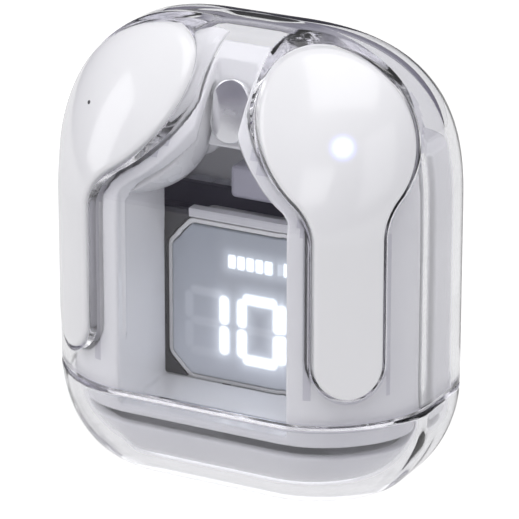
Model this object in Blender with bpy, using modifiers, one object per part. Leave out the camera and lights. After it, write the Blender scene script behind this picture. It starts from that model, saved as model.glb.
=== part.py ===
"""Clear-shelled charging case with two stemmed earbuds, a digit display and its inner parts.

The case stands on its flat foot: +Z up, front towards -Y, origin under the middle of its
bounding box. Sizes are in millimetres and are multiplied by MM when a mesh is made.
Each keyhole-shaped earbud lies along its own axis, a level line through (+-POD_X, POD_Y)
turned POD_TURN degrees out from the front. Its points are placed by `aside` (across the
axis), `out` (along it, towards the outside) and height.
"""
import math

import bmesh
import bpy
from mathutils import Matrix, Vector

MM = 0.001

# Whole case
WIDTH, DEPTH, HEIGHT = 47.5, 27.0, 55.0
PARTING_Z = 11.8          # widest section, where the upper shell meets the base
CLEAR_WALL = 1.6
GAP = 0.3                 # between neighbours, and round the earbud covers
# Plan outline of the widest section
SIDE_ROUND = 12.95        # how far in from the side the front corner starts
FRONT_CORNER = 12.5       # how far back the front corner reaches
BACK_ROUND, BACK_CORNER = 9.25, 8.0
# Roof: depths below the top where the sides, front and back start to close
ROOF_SIDE, ROOF_FRONT, ROOF_BACK = 22.0, 21.0, 20.0
# Earbud keyhole
POD_IN, POD_FRONT, POD_TURN = 5.85, 3.5, 40.0     # in from the side and the front, turn
HEAD_R, HEAD_DOWN = 8.5, 10.3
STEM_HALF, STEM_RISE = 4.0, 7.6                   # half width, lowest centre above the parting
NECK_R = 6.5
BULB_LESS, BULB_DEEP, BULB_IN = 0.7, 7.0, 8.8     # how much the bulb is slimmer than the head
BODY_LESS = 0.5           # how much the stem's body is slimmer than its cover
TIP_R, TIP_END = 5.0, 17.6
COVER_T = 1.2
# Light point of each earbud: across from its axis, and below the middle of its head
LIGHTS = {"left": (0.85, 0.15), "right": (-0.2, 0.15)}
SPINE = 3.1               # half thickness of the wall left between the two head pockets
# White inner frame, window and badge
FRAME_GAP, FRAME_WALL = 0.4, 1.6
FRAME_FOOT_DOWN = 2.9     # frame foot below the parting line
WINDOW_SIDE, SILL = 12.9, 1.0                     # in from the side, above the frame's foot
COLLAR_IN, COLLAR_OUT = 0.4, 1.7
BOWL_IN, BOWL_WALL = 0.45, 0.85                   # clearance round the bud, wall of its bowl
BOWL_DROP, BOWL_MORE = 1.1, 0.4                   # how much lower and rounder the bowl is outside
BRIDGE_TALL, BRIDGE_DOWN, BRIDGE_FRONT = 12.9, 1.6, 10.6
BRIDGE_LEAN = 2.6         # how much further back its top is than its foot
BADGE_W, BADGE_TALL, BADGE_DOWN = 4.8, 7.4, 10.0
# Display
SCREEN_BACK, SCREEN_DEEP = 13.0, 5.4              # its face in from the back, its thickness
SCREEN_LAP, SCREEN_DROP = 0.05, 0.4               # wider and lower than the window
SCREEN_TALL, SCREEN_CHAMFER, BEZEL = 19.7, 2.8, 0.45
DIGIT_W, DIGIT_TALL, DIGIT_DOWN = 5.4, 9.4, 2.35
# Rear housing, board and base
REAR_DOWN, REAR_WALL = 13.7, 1.0
BOARD_SIDE, BOARD_T, BOARD_TALL = 6.25, 0.8, 21.1
BLOCK_HALF, BLOCK_TALL = 3.9, 4.0                 # antenna block on the board's top edge
GASKET_SIDE, GASKET_TOP, GASKET_T = 1.6, 1.3, 1.3
TRAY_TOP = 7.6
USB_IN = 1.8              # socket's middle in front of the board

RIDGE_Y = DEPTH / 2 - 11.0                        # the top closes towards this line
FRONT_FLAT, BACK_FLAT = WIDTH / 2 - SIDE_ROUND, WIDTH / 2 - BACK_ROUND
POD_X, POD_Y = WIDTH / 2 - POD_IN, POD_FRONT - DEPTH / 2
HEAD_Z, STEM_END_Z = HEIGHT - HEAD_DOWN, PARTING_Z + STEM_RISE
BULB_R, BODY_HALF = HEAD_R - BULB_LESS, STEM_HALF - BODY_LESS
FRAME_INSET = CLEAR_WALL + FRAME_GAP
FRAME_FOOT = PARTING_Z - FRAME_FOOT_DOWN
COLLAR_DEEP = FRAME_INSET + FRAME_WALL
WINDOW_HALF, WINDOW_SILL = WIDTH / 2 - WINDOW_SIDE, FRAME_FOOT + SILL
SCREEN_Y = DEPTH / 2 - SCREEN_BACK
SCREEN_HALF, SCREEN_LOW = WINDOW_HALF + SCREEN_LAP, WINDOW_SILL - SCREEN_DROP
SCREEN_TOP = SCREEN_LOW + SCREEN_TALL
DIGIT_Z = (SCREEN_LOW + SCREEN_TOP) / 2 - DIGIT_DOWN
FRAME_BACK, REAR_FRONT = SCREEN_Y - 0.7, SCREEN_Y + 1.8
BRIDGE_LOW, BRIDGE_TOP = HEIGHT - BRIDGE_DOWN - BRIDGE_TALL, HEIGHT - BRIDGE_DOWN
BRIDGE_Y = BRIDGE_FRONT - DEPTH / 2
BADGE_Z, REAR_TOP = HEIGHT - BADGE_DOWN, HEIGHT - REAR_DOWN
BOARD_Y = SCREEN_Y + SCREEN_DEEP + GAP
BOARD_HALF, BOARD_LOW = WIDTH / 2 - BOARD_SIDE, FRAME_FOOT + 1.5
USB_Y = BOARD_Y - USB_IN
PIN_LEVELS = (STEM_END_Z - 2.4, STEM_END_Z + 0.8)
LEVEL_Z = PARTING_Z + 10.2                        # a level of the straight sides

TURN = math.radians(POD_TURN)
SIDES = (("left", -1), ("right", 1))

# name: colour, roughness, metallic, transmission
LOOKS = {
    "clear": ((0.93, 0.93, 0.95), 0.05, 0.0, 1.0),
    "white": ((0.88, 0.88, 0.9), 0.25, 0.0, 0.0),
    "silicone": ((0.85, 0.85, 0.87), 0.6, 0.0, 0.0),
    "screen": ((0.5, 0.54, 0.6), 0.12, 0.0, 0.0),
    "light_guide": ((0.9, 0.95, 1.0), 0.3, 0.0, 0.0),
    "board": ((0.06, 0.06, 0.08), 0.5, 0.0, 0.0),
    "foil": ((0.6, 0.62, 0.66), 0.35, 0.6, 0.0),
    "steel": ((0.72, 0.73, 0.75), 0.25, 1.0, 0.0),
    "chrome": ((0.9, 0.9, 0.92), 0.12, 0.9, 0.0),
    "gold": ((0.85, 0.65, 0.3), 0.25, 1.0, 0.0),
    "black": ((0.03, 0.03, 0.035), 0.45, 0.0, 0.0),
    "red_wire": ((0.6, 0.05, 0.04), 0.5, 0.0, 0.0),
    "black_wire": ((0.04, 0.04, 0.04), 0.5, 0.0, 0.0),
    "flex": ((0.55, 0.32, 0.08), 0.4, 0.0, 0.0),
    "blue_light": ((0.6, 0.75, 1.0), 0.2, 0.0, 0.0),
}


# ---------------------------------------------------------------- scene and meshes

def clear_scene():
    for obj in list(bpy.data.objects):
        bpy.data.objects.remove(obj, do_unlink=True)
    for group in list(bpy.data.collections):
        bpy.data.collections.remove(group)


def new_collection(name):
    group = bpy.data.collections.new(name)
    bpy.context.scene.collection.children.link(group)
    return group


def link_solid(points, faces, name="cutter"):
    """A closed mesh from points in millimetres, put with the cutters until it is kept."""
    mesh = bpy.data.meshes.new(name)
    mesh.from_pydata([Vector(p) * MM for p in points], [], faces)
    work = bmesh.new()
    work.from_mesh(mesh)
    bmesh.ops.recalc_face_normals(work, faces=work.faces)
    work.to_mesh(mesh)
    work.free()
    obj = bpy.data.objects.new(name, mesh)
    CUTTERS.objects.link(obj)
    obj.hide_render = True
    obj.display_type = "WIRE"
    return obj


def bake(body):
    """Applies the body's modifiers."""
    bpy.context.view_layer.update()
    graph = bpy.context.evaluated_depsgraph_get()
    result = bpy.data.meshes.new_from_object(body.evaluated_get(graph))
    body.modifiers.clear()
    body.data = result
    return body


def combine(body, tools, operation):
    """Applies an exact Boolean of each tool to the body in turn."""
    for tool in tools:
        step = body.modifiers.new(operation.lower(), "BOOLEAN")
        step.operation, step.solver, step.object = operation, "EXACT", tool
        bake(body)
    return body


def cut(body, *tools):
    return combine(body, tools, "DIFFERENCE")


def join(body, *tools):
    return combine(body, tools, "UNION")


def keep(body, *tools):
    return combine(body, tools, "INTERSECT")


def clean(obj):
    """Merges points that a Boolean leaves on top of each other and drops faces of no area."""
    work = bmesh.new()
    work.from_mesh(obj.data)
    bmesh.ops.remove_doubles(work, verts=work.verts, dist=0.004 * MM)
    bmesh.ops.dissolve_degenerate(work, edges=work.edges, dist=0.002 * MM)
    work.to_mesh(obj.data)
    work.free()


def finish(obj, name, look, pivot=(0, 0, 0), sharp=32):
    """Names a solid, gives it a material, moves its origin to the pivot and keeps it."""
    clean(obj)
    obj.name = obj.data.name = name
    obj.data.materials.clear()
    obj.data.materials.append(material(look))
    pivot = Vector(pivot) * MM
    obj.data.transform(Matrix.Translation(-pivot) @ obj.matrix_world)
    obj.matrix_world = Matrix.Translation(pivot)
    obj.data.shade_smooth()
    obj.data.set_sharp_from_angle(angle=math.radians(sharp))
    CUTTERS.objects.unlink(obj)
    CASE.objects.link(obj)
    obj.hide_render = False
    obj.display_type = "TEXTURED"
    return obj


def material(look):
    made = bpy.data.materials.get(look)
    if made:
        return made
    colour, roughness, metallic, transmission = LOOKS[look]
    made = bpy.data.materials.new(look)
    made.use_nodes = True
    shader = made.node_tree.nodes["Principled BSDF"]
    shader.inputs["Base Color"].default_value = (*colour, 1)
    shader.inputs["Roughness"].default_value = roughness
    shader.inputs["Metallic"].default_value = metallic
    shader.inputs["Transmission Weight"].default_value = transmission
    made.diffuse_color = (*colour, 1 - 0.7 * transmission)
    made.roughness, made.metallic = roughness, metallic
    return made


# ---------------------------------------------------------------- basic solids

def loft(rings):
    """A solid through rings of equal count, closed by a face at each end."""
    count = len(rings[0])
    points = [p for ring in rings for p in ring]
    faces = [tuple(range(count)), tuple(range((len(rings) - 1) * count, len(rings) * count))]
    for low in range(0, (len(rings) - 1) * count, count):
        for k in range(count):
            n = (k + 1) % count
            faces.append((low + k, low + n, low + count + n, low + count + k))
    return link_solid(points, faces)


def box(x, y, z):
    """A box from its three (low, high) pairs."""
    ring = [(x[0], y[0]), (x[1], y[0]), (x[1], y[1]), (x[0], y[1])]
    return loft([[(px, py, h) for px, py in ring] for h in z])


def soft_box(x, y, z, radius, steps=2):
    """A box with rounded edges."""
    body = box(x, y, z)
    bevel = body.modifiers.new("soft", "BEVEL")
    bevel.width, bevel.segments, bevel.limit_method = radius * MM, steps, "NONE"
    return bake(body)


def basis(direction):
    """Two unit directions square to the given one."""
    axis = Vector(direction).normalized()
    side = Vector((0, 0, 1)).cross(axis)
    side = Vector((1, 0, 0)) if side.length < 0.01 else side.normalized()
    return side, axis.cross(side)


def turned(start, direction, profile, count=20):
    """A solid turned about a line, from a list of (distance along it, radius)."""
    start, axis = Vector(start), Vector(direction).normalized()
    side, up = basis(axis)
    rings = []
    for along, radius in profile:
        turn = [2 * math.pi * k / count for k in range(count)]
        rings.append([start + axis * along + (side * math.cos(a) + up * math.sin(a)) * radius
                      for a in turn])
    return loft(rings)


def rod(start, end, radius, count=16):
    start, end = Vector(start), Vector(end)
    return turned(start, end - start, [(0, radius), ((end - start).length, radius)], count)


def ellipsoid(centre, axes, radii, count=28, levels=12):
    """A closed ellipsoid on three square axes; the last axis carries the poles."""
    centre = Vector(centre)
    axes = [Vector(a) for a in axes]
    rings = []
    for level in range(levels + 1):
        v = math.pi * (0.025 + 0.95 * level / levels)
        ring = []
        for k in range(count):
            u = 2 * math.pi * k / count
            ring.append(centre + axes[0] * radii[0] * math.sin(v) * math.cos(u)
                        + axes[1] * radii[1] * math.sin(v) * math.sin(u)
                        + axes[2] * radii[2] * math.cos(v))
        rings.append(ring)
    return loft(rings)


def rounded_outline(half_w, half_t, radius, steps=4):
    """A rectangle with round corners about the origin, as (a, b) pairs."""
    pairs = []
    for ca, cb, start in ((1, 1, 0), (-1, 1, 90), (-1, -1, 180), (1, -1, 270)):
        for k in range(steps + 1):
            a = math.radians(start + 90 * k / steps)
            pairs.append((ca * (half_w - radius) + radius * math.cos(a),
                          cb * (half_t - radius) + radius * math.sin(a)))
    return pairs


def upright_plate(pairs, x, z, y):
    """An outline of (across, up) pairs, thickened along Y between two values."""
    return loft([[(x + a, level, z + b) for a, b in pairs] for level in y])


def tube(points, radius, count=8):
    """A round cord through points, with filled ends."""
    curve = bpy.data.curves.new("cord", "CURVE")
    curve.dimensions, curve.bevel_depth = "3D", radius * MM
    curve.bevel_resolution, curve.use_fill_caps, curve.resolution_u = 1, True, 6
    line = curve.splines.new("NURBS")
    line.points.add(len(points) - 1)
    for knot, point in zip(line.points, points):
        knot.co = (*(Vector(point) * MM), 1)
    line.order_u, line.use_endpoint_u = 3, True
    obj = bpy.data.objects.new("cord", curve)
    CUTTERS.objects.link(obj)
    bpy.context.view_layer.update()
    graph = bpy.context.evaluated_depsgraph_get()
    mesh = bpy.data.meshes.new_from_object(obj.evaluated_get(graph))
    bpy.data.objects.remove(obj)
    solid = bpy.data.objects.new("cord", mesh)
    CUTTERS.objects.link(solid)
    return solid


# ---------------------------------------------------------------- outer form of the case

def corner(t, power):
    return math.sin(t) ** (2 / power), math.cos(t) ** (2 / power)


def plan_outline(inset, steps=8):
    """The widest section, anticlockwise from the front middle of the right side."""
    half_w, half_d = WIDTH / 2 - inset, DEPTH / 2 - inset
    right = []
    for k in range(steps + 1):
        a, b = corner(math.pi / 2 * k / steps, 1.75)
        reach = FRONT_CORNER - inset
        right.append((FRONT_FLAT + (half_w - FRONT_FLAT) * a, -half_d + reach * (1 - b)))
    for k in range(steps + 1):
        b, a = corner(math.pi / 2 * k / steps, 2.2)
        reach = BACK_CORNER - inset
        right.append((BACK_FLAT + (half_w - BACK_FLAT) * a, half_d - reach * (1 - b)))
    return right + [(-x, y) for x, y in reversed(right)]


def closing(z, start, top, power):
    """How far the section has shrunk at height z when it starts to close at `start`."""
    if z <= start:
        return 1.0
    return max(0.0, 1 - ((z - start) / (top - start)) ** power) ** (1 / power)


def section(z, inset):
    outline, top = plan_outline(inset), HEIGHT - inset
    if z >= PARTING_Z:
        across = closing(z, HEIGHT - ROOF_SIDE, top, 2.9)
        front = closing(z, HEIGHT - ROOF_FRONT, top, 1.5)
        back = closing(z, HEIGHT - ROOF_BACK, top, 2.0)
        return [(x * across, RIDGE_Y + (y - RIDGE_Y) * (front if y < RIDGE_Y else back), z)
                for x, y in outline]
    t = (PARTING_Z - z) / (PARTING_Z - inset)
    shrink = 1 - max(0.0, 1 - t ** 1.9) ** (1 / 1.9)
    return [(x * (1 - 0.33 * shrink), y * (1 - 0.5 * shrink), z) for x, y in outline]


def upper_levels(inset, count=10):
    start, top = HEIGHT - ROOF_SIDE, HEIGHT - inset
    return [start + (top - start) * math.sin(math.radians(87 * k / count))
            for k in range(count + 1)]


def lower_levels(inset, count=6):
    return [PARTING_Z - (PARTING_Z - inset) * math.sin(math.radians(90 * k / count))
            for k in range(count, 0, -1)]


def envelope(inset):
    """The outer form shrunk inwards by `inset` all round."""
    levels = lower_levels(inset) + [PARTING_Z, LEVEL_Z] + upper_levels(inset)
    return loft([section(z, inset) for z in levels])


def dome(inset, low):
    """The outer form above `low`, with straight sides below the parting line."""
    foot = [(x, y, low) for x, y, _ in section(PARTING_Z, inset)]
    return loft([foot, section(LEVEL_Z, inset)] + [section(z, inset) for z in upper_levels(inset)])


def footed_dome(inset, low):
    """The outer form above `low`, which follows the base's own form below the parting line."""
    levels = [low, PARTING_Z, LEVEL_Z] + upper_levels(inset)
    return loft([section(z, inset) for z in levels])


def cup(inset, high):
    """The outer form below the parting line, carried straight up to `high`."""
    widest = section(PARTING_Z, inset)
    rings = [section(z, inset) for z in lower_levels(inset)]
    return loft(rings + [[(x, y, high) for x, y, _ in widest]])


def slab(y=(-DEPTH, DEPTH), z=(-HEIGHT, 2 * HEIGHT)):
    """Everything between two Y and two Z levels."""
    return box((-WIDTH, WIDTH), y, z)


# ---------------------------------------------------------------- earbud keyholes

def place(side, aside, out, z):
    """World point of an earbud's own coordinates."""
    x = POD_X + aside * math.cos(TURN) + out * math.sin(TURN)
    return Vector((side * x, POD_Y + aside * math.sin(TURN) - out * math.cos(TURN), z))


def out_of(side):
    return Vector((side * math.sin(TURN), -math.cos(TURN), 0))


def across_of(side):
    return Vector((side * math.cos(TURN), math.sin(TURN), 0))


def keyhole(offset):
    """Half circle below, straight stem, concave neck and round head, grown by offset."""
    neck_z = HEAD_Z - math.sqrt((HEAD_R + NECK_R) ** 2 - (STEM_HALF + NECK_R) ** 2)
    lean = math.atan2(HEAD_Z - neck_z, STEM_HALF + NECK_R)
    right = []
    for k in range(6):
        a = math.radians(-90 + 90 * k / 5)
        radius = STEM_HALF + offset
        right.append((radius * math.cos(a), STEM_END_Z + radius * math.sin(a)))
    for k in range(5):
        a = math.pi - lean * k / 4
        radius = NECK_R - offset
        right.append((STEM_HALF + NECK_R + radius * math.cos(a), neck_z + radius * math.sin(a)))
    for k in range(1, 12):
        a = -lean + (lean + math.pi / 2) * k / 11
        radius = HEAD_R + offset
        right.append((radius * math.cos(a), HEAD_Z + radius * math.sin(a)))
    return right + [(-s, z) for s, z in reversed(right[1:-1])]


def prism(side, offset, back=2.2, nearest=SPINE + 0.4):
    """The keyhole carried along the earbud's axis: from outside the case back to the plane
    Y = back, but never nearer to the middle of the case than `nearest`."""
    def end(aside):
        by_plane = (aside * math.sin(TURN) + POD_Y - back) / math.cos(TURN)
        by_middle = (nearest - POD_X - aside * math.cos(TURN)) / math.sin(TURN)
        return max(by_plane, by_middle)
    pairs = keyhole(offset)
    count = len(pairs)
    points = [place(side, s, 12, z) for s, z in pairs]
    points += [place(side, s, end(s), z) for s, z in pairs]
    points += [place(side, 0, 12, HEAD_Z - 5), place(side, 0, end(0), HEAD_Z - 5)]
    faces = []
    for k in range(count):
        n = (k + 1) % count
        faces += [(k, n, count + n, count + k), (k, n, 2 * count),
                  (count + k, count + n, 2 * count + 1)]
    return link_solid(points, faces)


def bulb(side, grow=0.0, way_out=False, drop=0.0):
    """Body of the earbud's head. With a way out, it is straight from its widest part
    outwards, so that the head can slide through it."""
    axes = (across_of(side), Vector((0, 0, 1)), out_of(side))
    radius, centre = BULB_R + grow, place(side, 0, -BULB_IN, HEAD_Z - 0.4 - drop)
    if not way_out:
        return ellipsoid(centre, axes, (radius, radius, BULB_DEEP + grow), 22, 8)
    profile = [(BULB_IN + 4.0, radius)]
    for level in range(5):
        a = math.radians(86 * level / 4)
        profile.append((-(BULB_DEEP + grow) * math.sin(a), radius * math.cos(a)))
    return turned(centre, axes[2], profile, 22)


def stem(side, grow=0.0):
    """Body of the earbud's stem: a half-oval trough shape with a round lower end."""
    rings = []
    half, deep = BODY_HALF + grow, BODY_HALF + 0.5 + grow
    low, high = STEM_END_Z - 0.2, HEAD_Z - 3
    for k in range(4):
        a = math.radians(90 * k / 3)
        rings.append((low - half * math.cos(a), max(0.12, math.sin(a))))
    rings.append((high, 1.0))
    shape = []
    for z, size in rings:
        ring = []
        for k in range(16):
            a = 2 * math.pi * k / 16
            ring.append(place(side, half * size * math.cos(a), -1.5 + deep * size * math.sin(a), z))
        shape.append(ring)
    return loft(shape)


def tip_line(side):
    """Start and direction of the nozzle, straight inwards from the head."""
    return place(side, 0, -BULB_IN, HEAD_Z - 1.5), -out_of(side)


def tip_pocket(side, grow):
    start, way = tip_line(side)
    reach = TIP_END - BULB_IN
    radius = TIP_R + grow
    return turned(start, way, [(0, radius), (reach - 2.4 + grow, radius),
                               (reach - 0.8 + grow, radius * 0.86), (reach + grow, radius * 0.55)])


def pod(side, grow, way_out=False):
    """Everything of the earbud that sits behind its cover, grown by a margin."""
    return join(bulb(side, grow, way_out), stem(side, grow), tip_pocket(side, grow))


def bowl(side, grow):
    """Outside of the pocket bowl: as pod(), but lower and rounder below the head."""
    return join(bulb(side, grow + BOWL_MORE, True, BOWL_DROP), stem(side, grow),
                tip_pocket(side, grow))


# ---------------------------------------------------------------- case

def build_shells():
    upper = keep(envelope(0), slab(z=(PARTING_Z + GAP / 2, 2 * HEIGHT)))
    cut(upper, dome(CLEAR_WALL, 4))
    for _, side in SIDES:
        cut(upper, prism(side, GAP))
    finish(upper, "upper_shell", "clear")

    base = keep(envelope(0), slab(z=(-5, PARTING_Z - GAP / 2)))
    cut(base, cup(CLEAR_WALL, 20), usb_opening(4.9, 2.0, -3, 6))
    finish(base, "base_shell", "clear")

    tray = keep(cup(FRAME_INSET, 20), slab(z=(-5, TRAY_TOP)))
    cut(tray, cup(FRAME_INSET + REAR_WALL, 20), usb_opening(4.9, 2.0, -3, 6))
    finish(tray, "base_tray", "white")


def usb_opening(half_w, half_t, low, high):
    ring = rounded_outline(half_w, half_t, half_t * 0.95, 3)
    return loft([[(a, USB_Y + b, z) for a, b in ring] for z in (low, high)])


def pin_spot(side, deeper):
    return place(side, 1.2, -deeper, 0)


def pin_block(side, grow, near=7.15, far=9.35):
    """The block that carries the two charging pins of one earbud."""
    corners = [(-0.4 - grow, -near + grow), (2.8 + grow, -near + grow),
               (2.8 + grow, -far - grow), (-0.4 - grow, -far - grow)]
    return loft([[place(side, s, d, z) for s, d in corners]
                 for z in (PIN_LEVELS[0] - 1.8 - grow, PIN_LEVELS[1] + 1.8 + grow)])


def build_frame():
    frame = keep(footed_dome(FRAME_INSET, FRAME_FOOT), slab(y=(-DEPTH, FRAME_BACK)))
    window = box((-WINDOW_HALF, WINDOW_HALF), (-DEPTH, DEPTH), (WINDOW_SILL, 2 * HEIGHT))
    for _, side in SIDES:
        cut(window, cut(prism(side, COLLAR_OUT, 8, BADGE_W / 2 + GAP), dome(COLLAR_DEEP, 0)))
    foot, crest = BRIDGE_Y - 1.3, BRIDGE_Y - 1.3 + BRIDGE_LEAN
    cut(window, loft([[(x, y, z) for x, y in ((-8, face), (8, face), (8, DEPTH), (-8, DEPTH))]
                      for z, face in ((BRIDGE_LOW, foot), (BRIDGE_TOP, crest))]),
        slab(y=(BRIDGE_Y + 1, DEPTH), z=(BRIDGE_TOP - 0.5, 3 * HEIGHT)))
    cut(frame, window)
    for _, side in SIDES:
        hole = cut(prism(side, COLLAR_IN, 5, SPINE), dome(COLLAR_DEEP + 1, 0))
        around = BOWL_IN + BOWL_WALL + GAP + 0.05
        cut(frame, hole, keep(bowl(side, around), dome(COLLAR_DEEP, 0)),
            pin_block(side, GAP, 5.1))
    finish(frame, "front_frame", "white")

    for name, side in SIDES:
        cradle = keep(bowl(side, BOWL_IN + BOWL_WALL), dome(COLLAR_DEEP + GAP, 0))
        cut(cradle, pod(side, BOWL_IN, True))
        for z in PIN_LEVELS:
            cut(cradle, rod(pin_spot(side, 3) + Vector((0, 0, z)),
                            pin_spot(side, 9) + Vector((0, 0, z)), 0.85, 12))
        finish(cradle, "cradle_" + name, "white")

    badge = upright_plate(rounded_outline(BADGE_W / 2, BADGE_TALL / 2, BADGE_W / 2 - 0.1, 5),
                          0, BADGE_Z, (-0.45, 0.45))
    lean = math.atan2(BRIDGE_LEAN, BRIDGE_TALL)
    at = Vector((0, foot + math.tan(lean) * (BADGE_Z - BRIDGE_LOW) - 0.85, BADGE_Z))
    badge.data.transform(Matrix.Translation(at * MM) @ Matrix.Rotation(-lean, 4, "X")
                         @ Matrix.Translation(Vector((0, 0, -BADGE_Z)) * MM))
    finish(badge, "badge_plate", "chrome")


def build_rear():
    rear = keep(footed_dome(FRAME_INSET, FRAME_FOOT),
                slab(y=(REAR_FRONT, DEPTH), z=(0, REAR_TOP)))
    hollow = keep(footed_dome(FRAME_INSET + REAR_WALL, FRAME_FOOT + REAR_WALL),
                  slab(y=(REAR_FRONT - 4, DEPTH), z=(0, REAR_TOP - REAR_WALL - 0.2)))
    cut(rear, hollow, box((-SCREEN_HALF - 0.4, SCREEN_HALF + 0.4), (-5, BOARD_Y - 0.05), (4, 20)),
        box((-7.8, 7.8), (USB_Y + 0.6, BOARD_Y + BOARD_T + 1.2), (3, 19)))
    for _, side in SIDES:
        cut(rear, bowl(side, BOWL_IN + BOWL_WALL + GAP + 0.1))
    finish(rear, "rear_housing", "white")


def build_board():
    back, low, screw_z = BOARD_Y + BOARD_T, BOARD_LOW, BOARD_LOW + 2.6
    screws = (2.5 - BOARD_HALF, BOARD_HALF - 2.5)
    board = box((-BOARD_HALF, BOARD_HALF), (BOARD_Y, back), (low, low + BOARD_TALL))
    join(board, box((-6.8, 6.8), (BOARD_Y + 0.02, back - 0.02), (4.2, low + 1.6)))
    for x in screws:
        cut(board, rod((x, 0, screw_z), (x, DEPTH, screw_z), 1.0, 12))
    finish(board, "main_board", "board")
    for number, x in enumerate(screws, 1):
        screw = turned((x, back + 1.3, screw_z), (0, -1, 0),
                       [(0, 1.1), (0.5, 1.5), (1.0, 1.5), (1.02, 0.7), (4.2, 0.7), (4.6, 0.3)], 16)
        cut(screw, box((x - 0.9, x + 0.9), (back + 0.9, DEPTH), (screw_z - 0.2, screw_z + 0.2)),
            box((x - 0.2, x + 0.2), (back + 0.9, DEPTH), (screw_z - 0.9, screw_z + 0.9)))
        finish(screw, f"board_screw_{number}", "steel")

    block = soft_box((-BLOCK_HALF, BLOCK_HALF), (BOARD_Y - 3.5, BOARD_Y + 0.6),
                     (low + BOARD_TALL + GAP, low + BOARD_TALL + GAP + BLOCK_TALL), 0.6, 3)
    finish(block, "antenna_block", "white")
    chip = soft_box((-10.5, -6.5), (back + 0.1, back + 1.0), (low + 0.5, low + 3.7), 0.12)
    finish(chip, "charge_chip", "black")
    coil = soft_box((-4.6, -1.2), (back + 0.1, back + 1.9), (low + 0.5, low + 3.7), 0.4)
    finish(coil, "inductor", "board")

    cell = soft_box((4.5 - BOARD_HALF, BOARD_HALF - 4.5), (back + 0.5, back + 3.1),
                    (low + 4.8, low + BOARD_TALL - 0.2), 0.9, 3)
    finish(cell, "battery_cell", "foil")
    for number, x in enumerate((3.0, 4.6)):
        wire = tube([(x, back + 0.5, low + 1.8), (x, back + 1.6, low + 1.8),
                     (x, back + 1.9, low + 2.8), (x, back + 1.7, low + 3.6),
                     (x, back + 1.6, low + 4.5)], 0.36)
        finish(wire, ("battery_wire_red", "battery_wire_black")[number],
               ("red_wire", "black_wire")[number])

    shell = loft([[(a, USB_Y + b, z) for a, b in rounded_outline(4.45, 1.55, 1.5, 4)]
                  for z in (2.1, 9.2)])
    cut(shell, loft([[(a, USB_Y + b, z) for a, b in rounded_outline(4.1, 1.2, 1.15, 4)]
                     for z in (-1, 8.5)]))
    finish(shell, "usb_shell", "steel")
    tongue = soft_box((-3.3, 3.3), (USB_Y - 0.35, USB_Y + 0.35), (3.0, 8.2), 0.15)
    finish(tongue, "usb_tongue", "black")


def build_display():
    low, high = SCREEN_LOW, SCREEN_TOP
    mid, half_t = (low + high) / 2, (high - low) / 2

    def chamfered(inset):
        c = SCREEN_CHAMFER - inset * 0.4
        a, b = SCREEN_HALF - inset, half_t - inset
        return [(a, b - c), (a - c, b), (-a + c, b), (-a, b - c),
                (-a, -b + c), (-a + c, -b), (a - c, -b), (a, -b + c)]

    housing = upright_plate(chamfered(0), 0, mid, (SCREEN_Y + 0.1, SCREEN_Y + SCREEN_DEEP))
    cut(housing, upright_plate(chamfered(BEZEL), 0, mid, (SCREEN_Y - 2, SCREEN_Y + 1.5)),
        upright_plate(chamfered(1.2), 0, mid, (SCREEN_Y - 2, SCREEN_Y + SCREEN_DEEP - 0.8)),
        box((3, 7), (0, 12), (mid - 3, mid + 3)))
    finish(housing, "display_housing", "white")
    lens = upright_plate(chamfered(BEZEL + 0.15), 0, mid, (SCREEN_Y, SCREEN_Y + 0.9))
    finish(lens, "display_lens", "screen")
    wide = SCREEN_HALF + GASKET_SIDE
    gasket = box((-wide, wide), (SCREEN_Y, SCREEN_Y + GASKET_T),
                 (low + GAP / 3, high + GASKET_TOP))
    cut(gasket, upright_plate(chamfered(-0.15), 0, mid, (SCREEN_Y - 2, SCREEN_Y + SCREEN_DEEP)))
    finish(gasket, "screen_gasket", "black")

    inner, tall = SCREEN_HALF - 2.7, half_t - 2.3
    board = box((-inner, inner), (SCREEN_Y + 3.3, SCREEN_Y + 4.2), (mid - tall, mid + tall))
    finish(board, "display_board", "board")

    guide = box((-inner, inner), (SCREEN_Y + 1.8, SCREEN_Y + 2.9), (mid - tall, mid + tall))
    for x in (-5.6, 1.2):
        join(guide, *digit_bars(x))
    finish(guide, "digit_guide", "light_guide")

    flex = box((3.6, 6.4), (SCREEN_Y + 4.5, BOARD_Y - 0.1), (mid - 2.2, mid + 2.2))
    finish(flex, "display_flex", "flex")


def digit_bars(x):
    """Seven raised bars of one digit, centred at x."""
    half, tall, bar = DIGIT_W / 2 - 0.5, DIGIT_TALL / 2 - 0.5, 0.42
    face, foot = SCREEN_Y + 1.35, SCREEN_Y + 2.3
    bars = []
    for z in (-tall, 0, tall):
        bars.append(box((x - half + 0.5, x + half - 0.5), (face, foot),
                        (DIGIT_Z + z - bar, DIGIT_Z + z + bar)))
    for sx in (-half, half):
        for low, high in ((-tall + 0.6, -0.6), (0.6, tall - 0.6)):
            bars.append(box((x + sx - bar, x + sx + bar), (face, foot),
                            (DIGIT_Z + low, DIGIT_Z + high)))
    return bars


def build_pins(name, side):
    block = pin_block(side, 0)
    inward = -out_of(side)
    for z in PIN_LEVELS:
        level = Vector((0, 0, z))
        cut(block, rod(pin_spot(side, 6) + level, pin_spot(side, 12) + level, 0.62, 12))
    finish(block, "pin_block_" + name, "black")
    for number, z in enumerate(PIN_LEVELS, 1):
        at = pin_spot(side, 5.65) + Vector((0, 0, z))
        pin = turned(at, inward, [(0, 0.18), (0.12, 0.36), (1.3, 0.36), (1.7, 0.5), (2.9, 0.5)], 12)
        finish(pin, f"pogo_pin_{name}_{number}", "gold", at)


# ---------------------------------------------------------------- earbuds

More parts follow.
